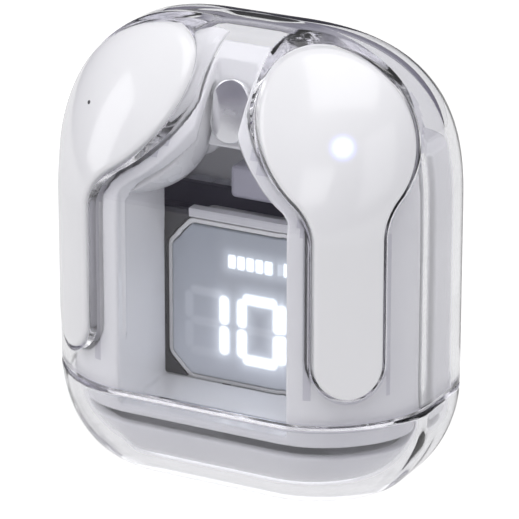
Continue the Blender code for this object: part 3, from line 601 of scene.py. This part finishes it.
def paint_rim_shade(shell, mats, keyholes):
    """Gives the moulded rims, which light crosses the long way, the darker clear material: painted
    shade for the dark band they show.
    """
    shell.data.materials.append(mats["clear_edge_painted_shade"])
    centre = np.array([face.center for face in shell.data.polygons]) / MM
    normal = np.array([face.normal for face in shell.data.polygons])
    z = centre[:, 2]
    # faces of the rim at the parting line get the painted shade
    shaded_rim = (np.abs(z - PARTING_Z) < 0.55) & (np.abs(normal[:, 2]) > 0.3)
    reach, neck_far, shoulder_z = 0.9, STEM_HALF + NECK_R, HEAD_Z - 4.5
    for _, side in SIDES if keyholes else ():
        x, y = centre[:, 0] * side - POD_X, centre[:, 1] - POD_Y
        aside = x * COS_TURN + y * SIN_TURN
        out = x * SIN_TURN - y * COS_TURN
        lean = (normal[:, 0] * side * COS_TURN + normal[:, 1] * SIN_TURN) * np.sign(aside)
        far = np.abs(aside)
        to_head, to_neck, to_toe = (np.hypot(far - a, z - h) for a, h in (
            (0, HEAD_Z), (neck_far, NECK_Z), (0, STEM_END_Z)))
        in_head = (z > shoulder_z) & (to_head < HEAD_R + reach)
        in_neck = ((z > NECK_Z) & (z <= shoulder_z) & (far < HEAD_R + 0.5)
                   & (to_neck > NECK_R - reach))
        in_leg = (z > STEM_END_Z) & (z <= NECK_Z) & (far < STEM_HALF + reach)
        in_toe = (z <= STEM_END_Z) & (to_toe < STEM_HALF + reach)
        # how squarely each face looks at the middle of the keyhole
        toward = np.select(
            [in_head, in_neck, in_leg, in_toe],
            [(-far * lean + (HEAD_Z - z) * normal[:, 2]) / (to_head + 1e-6),
             ((far - neck_far) * lean + (z - NECK_Z) * normal[:, 2]) / (to_neck + 1e-6),
             -lean, (-far * lean + (STEM_END_Z - z) * normal[:, 2]) / (to_toe + 1e-6)], 0.0)
        # faces round a keyhole that look at its middle get the painted shade too
        shaded_rim |= (out > -9.0) & (toward > 0.3)
    shell.data.polygons.foreach_set("material_index", shaded_rim.astype(np.int32))


def rim(way):
    """Rings over the rounded rim of a clear shell, up (1) or down (-1) from the parting line."""
    outer, inner = widest(0.0, 0.0), widest(CLEAR_WALL, 0.0)
    rings = []
    for a in np.radians(np.linspace(0, 90, 7)):
        share = RIM_ROUND * (1 - math.cos(a)) / CLEAR_WALL
        level = [0, 0, PARTING_Z + way * (GAP / 2) + way * (RIM_ROUND * (1 - math.sin(a)))]
        rings.append((share, level))
    return ([outer * (1 - share) + inner * share + level for share, level in rings]
            + [outer * share + inner * (1 - share) + level for share, level in rings[::-1]])


def build_upper_shell(mats):
    """Outer skin, rounded lower rim and inner skin in one surface, then the two pockets cut."""
    straight_z = 15.0
    rings = [section(z, 0.0) for z in upper_levels(0.0)[::-1]]
    rings += [section(WAIST_Z, 0.0), widest(0.0, straight_z)] + rim(1)
    rings += [widest(CLEAR_WALL, straight_z), section(WAIST_Z, CLEAR_WALL)]
    rings += [section(z, CLEAR_WALL) for z in upper_levels(CLEAR_WALL)]
    shell = loft(rings, "shell_upper")
    for _, side in SIDES:
        cut(shell, prism(side, GAP, fillet=0.35))
    add(shell, mats["clear"], "case", ["upper_shell"], 30)
    paint_rim_shade(shell, mats, True)
    shell.visible_shadow = False


def usb_hole():
    half_w, half_t = 4.9, 2.0
    ring = rounded_outline(half_w, half_t, half_t * 0.95)
    return loft([[(a, USB_Y + b, z) for a, b in ring] for z in (-3, 6)])


def build_base(mats):
    """The clear base cup and the white tray that sits in it."""
    rings = [section(z, 0.0) for z in lower_levels(0.0)[:-2]] + rim(-1)
    rings += [section(z, CLEAR_WALL) for z in lower_levels(CLEAR_WALL)[::-1][2:]]
    base = loft(rings, "shell_base")
    cut(base, usb_hole())
    # the base shell takes the darker clear copy, which paints shade on it
    add(base, mats["clear_base_painted_shade"], "case", ["base_shell"], 30)
    paint_rim_shade(base, mats, False)
    base.visible_shadow = False

    tray = keep(cup(FRAME_INSET, 20), box((-60, 60), (-40, 40), (-5, TRAY_TOP)))
    cut(tray, cup(FRAME_INSET + TRAY_WALL, 20), usb_hole())
    soften(tray, 0.22, 3).name = "tray_base"
    add(tray, mats["white"], "case", ["base_tray"], None)


def build_frame(mats):
    """The white front frame, the bowls in its pockets and the rear housing."""
    body = keep(footed_dome(FRAME_INSET, FRAME_FOOT), box((-60, 60), (-40, FRAME_BACK), (0, 90)))
    window = box((-WINDOW_HALF, WINDOW_HALF), (-30, 12), (WINDOW_SILL, 80))
    for _, side in SIDES:
        cut(window, cut(prism(side, COLLAR_OUT, 8, BADGE_W / 2 + GAP), dome(COLLAR_DEEP, 0)))
    bridge = loft([[(x, y, z) for x, y in ((-8, front), (8, front), (8, 6), (-8, 6))]
                   for z, front in ((BRIDGE_LOW, BRIDGE_Y - 0.1 - 1.2),
                                    (BRIDGE_TOP, BRIDGE_Y - 0.1 - 1.2 + BRIDGE_LEAN))])
    cut(window, bridge, box((-30, 30), (-1.9, 14), (BRIDGE_TOP - 0.5, 90)))
    cut(body, window)
    for _, side in SIDES:
        hole = cut(prism(side, COLLAR_IN, 5, SPINE), dome(COLLAR_DEEP + 1, 0))
        cut(body, hole, keep(bowl(side, BOWL_IN + BOWL_WALL + 0.35), dome(COLLAR_DEEP, 0)))
    soften(body, 0.2, 4).name = "frame_front"
    add(body, mats["white"], "case", ["front_frame"], None)

    for name, side in SIDES:
        pocket = keep(bowl(side, BOWL_IN + BOWL_WALL), dome(COLLAR_DEEP + GAP, 0))
        cut(pocket, pod(side, BOWL_IN, True))
        soften(pocket, 0.22, 3).name = "bowl_" + name
        add(pocket, mats["bowl"], "case", ["cradle_" + name], None)

    rear = keep(footed_dome(FRAME_INSET, FRAME_FOOT),
                box((-60, 60), (REAR_FRONT, 40), (0, REAR_TOP)))
    hollow = keep(footed_dome(FRAME_INSET + REAR_WALL, FRAME_FOOT + REAR_WALL),
                  box((-60, 60), (REAR_FRONT - 4, 40), (0, REAR_TOP - 1.2)))
    cut(rear, hollow, box((-SCREEN_HALF - 0.4, SCREEN_HALF + 0.4), (-5, 6.15), (4, 20)),
        box((-7.8, 7.8), (5, 8.2), (3, 19)))
    for _, side in SIDES:
        cut(rear, bowl(side, BOWL_IN + BOWL_WALL + 0.4))
    soften(rear, 0.22, 4).name = "housing_rear"
    add(rear, mats["white"], "case", ["rear_housing"], None)


def build_badge(mats):
    """The bright pill-shaped plate, which leans with the bridge it sits on."""
    lean = math.atan2(BRIDGE_LEAN, BRIDGE_TOP - BRIDGE_LOW)
    at = Vector((0, BRIDGE_Y - 2.15 + math.tan(lean) * (BADGE_Z - BRIDGE_LOW), BADGE_Z))
    rings = []
    for level, inset in ((0.45, 0.0), (-0.2, 0.0), (-0.33, 0.04), (-0.42, 0.13), (-0.45, 0.26)):
        half = BADGE_W / 2 - inset
        pairs = rounded_outline(half, BADGE_TALL / 2 - inset, half - 0.02, 14)
        rings.append([(a, level, b) for a, b in pairs])
    badge = loft(rings, "pill_plate")
    badge.data.transform(Matrix.Translation(at * MM) @ Matrix.Rotation(-lean, 4, "X"))
    add(badge, mats["chrome"], "case", ["badge_plate"], 40)


# ---------------------------------------------------------------- display

def chamfered(inset, ease=0.0):
    """Outline of the display: a rectangle with cut corners, each corner point eased."""
    half_t = (SCREEN_TOP - SCREEN_LOW) / 2
    c, a, b = SCREEN_CHAMFER - inset * 0.4, SCREEN_HALF - inset, half_t - inset
    corners = [(a, b - c), (a - c, b), (-a + c, b), (-a, b - c),
               (-a, -b + c), (-a + c, -b), (a - c, -b), (a, -b + c)]
    if not ease:
        return corners
    pairs = []
    for k, corner in enumerate(corners):
        before, after = Vector(corners[k - 1]), Vector(corners[(k + 1) % 8])
        here = Vector(corner)
        first = here + (before - here).normalized() * ease
        last = here + (after - here).normalized() * ease
        for t in np.linspace(0, 1, 6):
            pairs.append(tuple(first.lerp(here, t).lerp(here.lerp(last, t), t)))
    return pairs


def upright(pairs, levels, name="tool"):
    """An outline set upright and carried through levels of Y."""
    return loft([[(a, y, SCREEN_MID + b) for a, b in pairs] for y in levels], name)


def digit_bars(centre):
    """Segment name to its two end points, of a seven-segment digit."""
    half, t = DIGIT_W / 2 - 0.6, DIGIT_TALL / 2 - 0.6
    mid = DIGIT_LOW + DIGIT_TALL / 2
    top, low = mid + t, mid - t
    left, right = centre - half, centre + half
    return {"a": ((left, top), (right, top)), "b": ((right, mid), (right, top)),
            "c": ((right, low), (right, mid)), "d": ((left, low), (right, low)),
            "e": ((left, low), (left, mid)), "f": ((left, mid), (left, top)),
            "g": ((left, mid), (right, mid))}


def bar_distance(x, z, ends, trim=0.75):
    """Distance of points from a segment's middle line, which is trimmed at both ends."""
    (x0, z0), (x1, z1) = ends
    length = math.hypot(x1 - x0, z1 - z0)
    ux, uz = (x1 - x0) / length, (z1 - z0) / length
    along = np.clip((x - x0) * ux + (z - z0) * uz, trim, length - trim)
    return np.hypot(x - x0 - along * ux, z - z0 - along * uz)


def slot_distance(x, z, centre, half):
    """Distance of points from a rectangle given by its centre and half sizes."""
    return np.hypot(*(np.clip(np.abs(v - c) - h, 0, None) for v, c, h in zip((x, z), centre, half)))


def glow_at(x, z):
    """(lit, ghost) light of the display window at points across it."""
    lit, ghost = np.zeros(x.shape), np.zeros(x.shape)
    for centre, lit_names in DIGITS:
        for name, ends in digit_bars(centre).items():
            distance = bar_distance(x, z, ends)
            core = np.clip((0.82 - distance) / 0.5, 0, 1)
            if name in lit_names:
                lit = np.maximum(lit, core + 0.3 * np.exp(-(distance / 1.3) ** 2))
            else:
                ghost = np.maximum(ghost, np.clip((0.75 - distance) / 0.4, 0, 1))
    for centre in LEVEL_BARS:
        distance = slot_distance(x, z, (centre, 25.1), (0.28, 0.62))
        lit = np.maximum(lit, np.clip((0.3 - distance) / 0.22, 0, 1) * 0.9
                         + 0.2 * np.exp(-(distance / 0.9) ** 2))
    unlit = slot_distance(x, z, (7.1, 15.0), (1.1, 1.6))
    ghost = np.maximum(ghost, np.clip((0.5 - unlit) / 0.5, 0, 1) * 0.4)
    return lit, ghost


def build_display(mats):
    housing = upright(chamfered(0, 0.7), (SCREEN_Y + 0.1, SCREEN_Y + SCREEN_DEEP),
                      "screen_housing")
    inner = upright(chamfered(BEZEL, 0.6), (SCREEN_Y - 2, SCREEN_Y + 1.5))
    cut(housing, inner, upright(chamfered(1.2, 0.5), (SCREEN_Y - 2, SCREEN_Y + SCREEN_DEEP - 0.8)))
    bevel = housing.modifiers.new("edge", "BEVEL")
    bevel.width, bevel.segments, bevel.angle_limit = 0.1 * MM, 3, math.radians(50)
    bake(housing)
    add(housing, mats["bezel"], "case", ["display_housing"], 40)

    lens = screen_grid("screen_window")
    add(lens, screen_material(), "case", ["display_lens"], None)


def screen_grid(name):
    """The window as a fine grid trimmed to the chamfered outline, carrying its light."""
    inset, step, thick = BEZEL + 0.15, 0.17, 0.9
    outline = chamfered(inset)
    a, b = (max(p[k] for p in outline) for k in (0, 1))
    c = SCREEN_CHAMFER - inset * 0.4
    columns, rows = int(2 * a / step), int(2 * b / step)
    v = np.linspace(-b, b, rows + 1)
    width = np.minimum(a, a + b - c - np.abs(v))
    u = np.linspace(-1, 1, columns + 1)
    x = width[:, None] * u[None, :]
    z = np.repeat(v[:, None], columns + 1, 1)
    front = np.stack([x, np.full(x.shape, SCREEN_Y), SCREEN_MID + z], -1).reshape(-1, 3)
    faces = []
    for r in range(rows):
        for k in range(columns):
            n = r * (columns + 1) + k
            faces.append((n, n + 1, n + columns + 2, n + columns + 1))
    row = columns + 1
    edge = (list(range(row)) + [r * row + columns for r in range(1, rows + 1)]
            + [rows * row + k for k in range(columns - 1, -1, -1)]
            + [r * row for r in range(rows - 1, 0, -1)])
    start, count = len(front), len(edge)
    back = front[edge] + [0, thick, 0]
    faces += [(edge[k], edge[(k + 1) % count], start + (k + 1) % count, start + k)
              for k in range(count)]
    faces.append(tuple(range(start, start + count)))
    obj = new_object(name, np.concatenate([front, back]), faces)
    place_mm = np.array([vert.co for vert in obj.data.vertices]) / MM
    lit, ghost = glow_at(place_mm[:, 0], place_mm[:, 2])
    face = place_mm[:, 1] < SCREEN_Y + 0.1
    for label, values in (("lit", lit * face), ("ghost", ghost * face)):
        layer = obj.data.attributes.new(label, "FLOAT", "POINT")
        layer.data.foreach_set("value", values.astype(np.float32))
    return obj


def screen_material():
    """A grey mirror whose colour holds a painted reflection, paler towards its foot, with ghosted
    segments and lit ones.
    """
    made = Shader("screen_mirror", Metallic=0.0, Coat_Weight=0.6, Coat_Roughness=0.03)
    split = made.node("ShaderNodeSeparateXYZ", {"Vector": made.place()})
    # painted reflection: the lens colour runs from pale grey-blue at its foot to darker at its top
    height = made.ramp(split.outputs["Z"], 0.0, 1.0, SCREEN_LOW * MM, SCREEN_TOP * MM)
    painted_reflection = made.node("ShaderNodeValToRGB", {"Fac": height})
    ramp = painted_reflection.color_ramp
    ramp.elements[0].position, ramp.elements[0].color = 0.0, (0.74, 0.78, 0.85, 1)
    ramp.elements[1].position, ramp.elements[1].color = 1.0, (0.44, 0.48, 0.55, 1)
    middle = ramp.elements.new(0.5)
    middle.color = (0.55, 0.59, 0.66, 1)
    ghost = made.node("ShaderNodeAttribute", attribute_name="ghost")
    lighter = made.node("ShaderNodeMix", {"Factor": made.ramp(ghost.outputs["Fac"], 0, 0.5, 0, 1),
                                          6: painted_reflection.outputs["Color"]}, data_type="RGBA")
    lighter.inputs[7].default_value = (0.8, 0.84, 0.9, 1)
    made.link(lighter.outputs[2], "Base Color")
    made.link(made.ramp(made.noise(500.0, 4.0), 0.1, 0.2), "Roughness")
    lit = made.node("ShaderNodeAttribute", attribute_name="lit")
    made.main.inputs["Emission Color"].default_value = (0.86, 0.93, 1.0, 1)
    made.link(made.ramp(lit.outputs["Fac"], 0.0, 1.5, 0.0, 1.3), "Emission Strength")
    return made.material


# ---------------------------------------------------------------- earbuds

def glowing(name, base, spot):
    """Glossy white with the glow that a lit light pipe gives the plastic around it."""
    made = Shader(name, base)
    far = made.node("ShaderNodeVectorMath", {0: made.place(), 1: spot * MM}, operation="DISTANCE")
    fade = made.node("ShaderNodeMapRange", {"Value": far.outputs["Value"], "From Min": 0.0,
                                            "From Max": 0.0028, "To Min": 1.0, "To Max": 0.0},
                     interpolation_type="SMOOTHERSTEP")
    power = made.node("ShaderNodeMath", {0: fade.outputs["Result"], 1: 3.2}, operation="POWER")
    scale = made.node("ShaderNodeMath", {0: power.outputs["Value"], 1: 2.2}, operation="MULTIPLY")
    made.link(scale.outputs["Value"], "Emission Strength")
    made.main.inputs["Emission Color"].default_value = (0.22, 0.30, 1.0, 1)
    return made.material


def build_light(name, side, spot):
    """The right earbud's lit light pipe, or the left one's dark pinhole."""
    lit = side > 0
    pipe = Shader("light_pipe_" + name, Roughness=0.2, Base_Color=(0.9, 0.95, 1.0, 1))
    if lit:
        pipe.main.inputs["Emission Color"].default_value = (0.62, 0.88, 1.0, 1)
        pipe.link(pipe.ramp(pipe.noise(2500.0), 1.6, 2.4), "Emission Strength")
    else:
        pipe.link(pipe.blend(pipe.noise(2500.0), (0.03, 0.03, 0.035), (0.09, 0.09, 0.1)),
                  "Base Color")
    normal, size = out_of(side), 0.34 if lit else 0.3
    lens = turned(spot - normal * 0.5, normal, [(0, size), (0.42, size), (0.5, size * 0.86),
                                                (0.55, size * 0.5), (0.56, 0.02)], 32,
                  "light_" + name)
    add(lens, pipe.material, "earbud_" + name,
        ["bud_light_" + name])


def build_cover(name, side, mats):
    """The outer face of an earbud: it follows the case's form and has a rounded rim."""
    proud, radius, thick = 0.25, 0.5, 1.5
    inward = [radius * (1 - math.cos(math.radians(a))) for a in np.linspace(0, 90, 9)]
    rings = [loop(o) for o in inward]
    drops = [math.sqrt(max(0.0, radius ** 2 - (radius - o) ** 2)) - radius for o in inward]
    for share in np.linspace(0, 1, 26)[1:] ** 1.15:
        rings.append(loop(radius + (FAR - radius) * share))
        drops.append(0.0)
    count = len(rings[0])
    points = []
    for ring, drop in zip(rings, drops):
        out = skin(ring[:, 0], ring[:, 1], 0.0) + proud + drop
        points.append(placed(side, ring[:, 0], out, ring[:, 1]))
    for ring in rings[::-1][:-8] + [rings[0]]:
        out = skin(ring[:, 0], ring[:, 1], 0.0) + proud - thick
        points.append(placed(side, ring[:, 0], out, ring[:, 1]))
    faces = []
    levels, front_last = len(points), len(rings) - 1
    for level in range(levels):
        if level != front_last:
            faces += band(level * count, (level + 1) % levels * count, count)
    cover = new_object("cover_" + name, np.concatenate(points), faces)
    aside, drop = LIGHTS[name]
    out = float(skin(np.array([aside]), np.array([HEAD_Z - drop]), 0.0)[0]) + proud
    spot = place(side, aside, out, HEAD_Z - drop)
    look = glowing("bud_gloss_" + name, mats["bud"], spot) if side > 0 else mats["bud"]
    add(cover, look, "earbud_" + name, ["bud_cover_" + name], 50)
    build_light(name, side, spot)


def build_bud(name, side, mats):
    """One earbud: its cover and light, body, ear tip and the mesh in its nozzle."""
    group = "earbud_" + name
    build_cover(name, side, mats)
    body = keep(prism(side, -0.35), dome(1.5, 0))
    cut(body, dome(3.0, 0))
    join(body, keep(join(bulb(side), stem(side)), dome(1.52, 0)))
    start, down = tip_line(side)
    reach = TIP_END - BULB_IN
    join(body, turned(start, down, [(2, 3.0), (reach - 2.2, 2.9)]))
    cut(body, bulb(side, -1.1), stem(side, -0.9), turned(start, down, [(1, 2.0), (reach + 2, 2.0)]))
    soften(body, 0.2, 4).name = "body_" + name
    add(body, mats["bud"], group, ["bud_body_" + name], None)

    outer = [(3.4, 3.5), (3.8, 4.1), (4.4, TIP_R - 0.45), (5.1, TIP_R - 0.1), (5.8, TIP_R),
             (6.6, TIP_R - 0.25), (7.3, TIP_R - 0.8), (7.9, TIP_R - 1.45), (8.4, TIP_R - 2.1),
             (8.65, TIP_R - 2.5), (8.72, 2.25)]
    tip = turned(start, down, outer + [(8.6, 2.1), (reach - 2.0, 2.1), (reach - 2.1, 3.05),
                                       (3.45, 3.05)], 96, "eartip_" + name)
    close_ends(tip)
    add(tip, mats["silicone"], group, ["ear_tip_" + name], 50)

    grille = turned(start, down, [(reach - 2.9, 1.85), (reach - 2.45, 1.85), (reach - 2.4, 1.7)],
                    48, "grille_" + name)
    add(grille, grille_material(mats), group, ["nozzle_mesh_" + name])


def close_ends(obj):
    """Turns a lofted tube whose first and last rings nearly meet into a closed ring."""
    work = bmesh.new()
    work.from_mesh(obj.data)
    big = [f for f in work.faces if len(f.verts) > 4]
    rims = [list(f.edges) for f in big]
    bmesh.ops.delete(work, geom=big, context="FACES_ONLY")
    bmesh.ops.bridge_loops(work, edges=[e for rim in rims for e in rim])
    bmesh.ops.recalc_face_normals(work, faces=work.faces)
    work.to_mesh(obj.data)
    work.free()


def grille_material(mats):
    """Steel mesh with round dark holes in rows."""
    made = Shader("grille_mesh", mats["mesh"])
    holes = made.node("ShaderNodeTexVoronoi", {"Scale": 3200.0, "Randomness": 0.0,
                                               "Vector": made.place()})
    dark = made.node("ShaderNodeValToRGB", {"Fac": holes.outputs["Distance"]})
    stops = dark.color_ramp.elements
    stops[0].position, stops[1].position = 0.25, 0.4
    stops[1].color = (0.6, 0.6, 0.63, 1)
    made.link(dark.outputs["Color"], "Base Color")
    return made.material


# ---------------------------------------------------------------- carried-over CAD pieces

def dress_nodes(mats):
    """Materials for the CAD nodes that stay as they are."""
    # main_board takes the void colour and screen_gasket the near-black, both painted shade behind
    # the window
    looks = {"main_board": "void", "charge_chip": "black", "inductor": "black",
             "board_screw": "steel", "battery_cell": "foil", "battery_wire_red": "red_wire",
             "battery_wire_black": "black_wire", "usb_shell": "steel", "usb_tongue": "black",
             "display_board": "board", "digit_guide": "bezel", "display_flex": "flex",
             "case_magnet": "steel", "pin_block": "black", "pogo_pin": "gold", "driver": "black",
             "bud_battery": "steel", "bud_board": "board", "bud_contact": "gold",
             "bud_magnet": "steel", "antenna_block": "pale", "screen_gasket": "gasket"}
    for name, node in NODES.items():
        for start, look in looks.items():
            if name.startswith(start):
                shade(node, mats[look], 32)


# ---------------------------------------------------------------- studio

def area_light(name, at, size, power):
    """A soft rectangular light aimed at the middle of the case."""
    light = bpy.data.lights.new(name, "AREA")
    light.shape, light.size, light.size_y = "RECTANGLE", size[0], size[1]
    light.energy = power
    obj = bpy.data.objects.new(name, light)
    obj.visible_camera = False
    bpy.context.scene.collection.objects.link(obj)
    obj.location = Vector(at)
    obj.rotation_euler = (Vector((0, 0, 0.03)) - obj.location).to_track_quat("-Z", "Y").to_euler()


def build_floor():
    floor = loft([[(x * r, y * r, 0) for x, y in rounded_outline(1, 1, 0.999, 16)]
                  for r in (2000, 1.0)], "floor")
    paint = Shader("floor_paper", Roughness=0.9)
    paint.link(paint.blend(paint.noise(3.0), (0.8, 0.8, 0.81), (0.82, 0.82, 0.825)), "Base Color")
    paint.main.inputs["Emission Color"].default_value = (1, 1, 1, 1)
    path = paint.node("ShaderNodeLightPath")
    paint.link(paint.ramp(path.outputs["Is Camera Ray"], 0.46, 0.74, 0, 1), "Emission Strength")
    shade(floor, paint.material, None)


def build_studio():
    """A sky that is dark low down for reflections and white to the camera, and four lights."""
    scene = bpy.context.scene
    world = bpy.data.worlds.new("studio")
    scene.world = world
    world.use_nodes = True
    tree = world.node_tree
    back = tree.nodes["Background"]
    way = tree.nodes.new("ShaderNodeTexCoord")
    split = tree.nodes.new("ShaderNodeSeparateXYZ")
    tree.links.new(way.outputs["Generated"], split.inputs["Vector"])
    sky = tree.nodes.new("ShaderNodeValToRGB")
    tree.links.new(split.outputs["Z"], sky.inputs["Fac"])
    for position, colour in ((0.0, (0.12, 0.11, 0.15)), (0.3, (0.17, 0.165, 0.21)),
                             (0.55, (0.36, 0.355, 0.40)), (1.0, (0.60, 0.60, 0.62))):
        stop = sky.color_ramp.elements.new(position)
        stop.color = (*colour, 1)
    tree.links.new(sky.outputs["Color"], back.inputs["Color"])
    white = tree.nodes.new("ShaderNodeBackground")
    path = tree.nodes.new("ShaderNodeLightPath")
    seen = tree.nodes.new("ShaderNodeMixShader")
    tree.links.new(path.outputs["Is Camera Ray"], seen.inputs["Fac"])
    tree.links.new(back.outputs["Background"], seen.inputs[1])
    tree.links.new(white.outputs["Background"], seen.inputs[2])
    white.inputs["Color"].default_value = (1, 1, 1, 1)
    tree.links.new(seen.outputs["Shader"], tree.nodes["World Output"].inputs["Surface"])

    area_light("top_softbox", (0.02, -0.05, 0.55), (0.4, 0.4), 0.7)
    area_light("left_softbox", (-0.5, -0.3, 0.3), (0.3, 0.4), 0.62)
    area_light("right_softbox", (0.5, -0.25, 0.3), (0.3, 0.4), 0.3)
    area_light("front_softbox", (0.1, -0.6, 0.35), (0.3, 0.2), 0.26)
    scene.cycles.max_bounces = scene.cycles.transmission_bounces = 32
    scene.cycles.glossy_bounces = scene.cycles.transparent_max_bounces = 16
    scene.view_settings.view_transform = "Standard"
    scene.view_settings.look = "None"
    scene.view_settings.exposure = 0.17


def build_camera():
    """The camera, to the right of the front and above, aimed at the middle of the case."""
    azimuth, elevation, distance = math.radians(28), math.radians(20.5), 0.446
    aim = Vector((0, 0, 0.0275))
    back_way = Vector((math.sin(azimuth) * math.cos(elevation),
                       -math.cos(azimuth) * math.cos(elevation), math.sin(elevation)))
    turn = back_way.to_track_quat("Z", "Y")
    slide = turn @ Vector((0.0011, -0.0016, 0))
    camera = bpy.data.cameras.new("camera")
    camera.lens, camera.sensor_width = 266.0, 36.0
    camera.clip_start, camera.clip_end = 0.01, 20.0
    holder = bpy.data.objects.new("camera", camera)
    bpy.context.scene.collection.objects.link(holder)
    holder.location = aim + back_way * distance + slide
    holder.rotation_euler = turn.to_euler()
    bpy.context.scene.camera = holder


materials = make_materials()
dress_nodes(materials)
build_upper_shell(materials)
build_base(materials)
build_frame(materials)
build_badge(materials)
build_display(materials)
for bud_name, bud_side in SIDES:
    build_bud(bud_name, bud_side, materials)
build_floor()
build_studio()
build_camera()
bpy.context.view_layer.update()
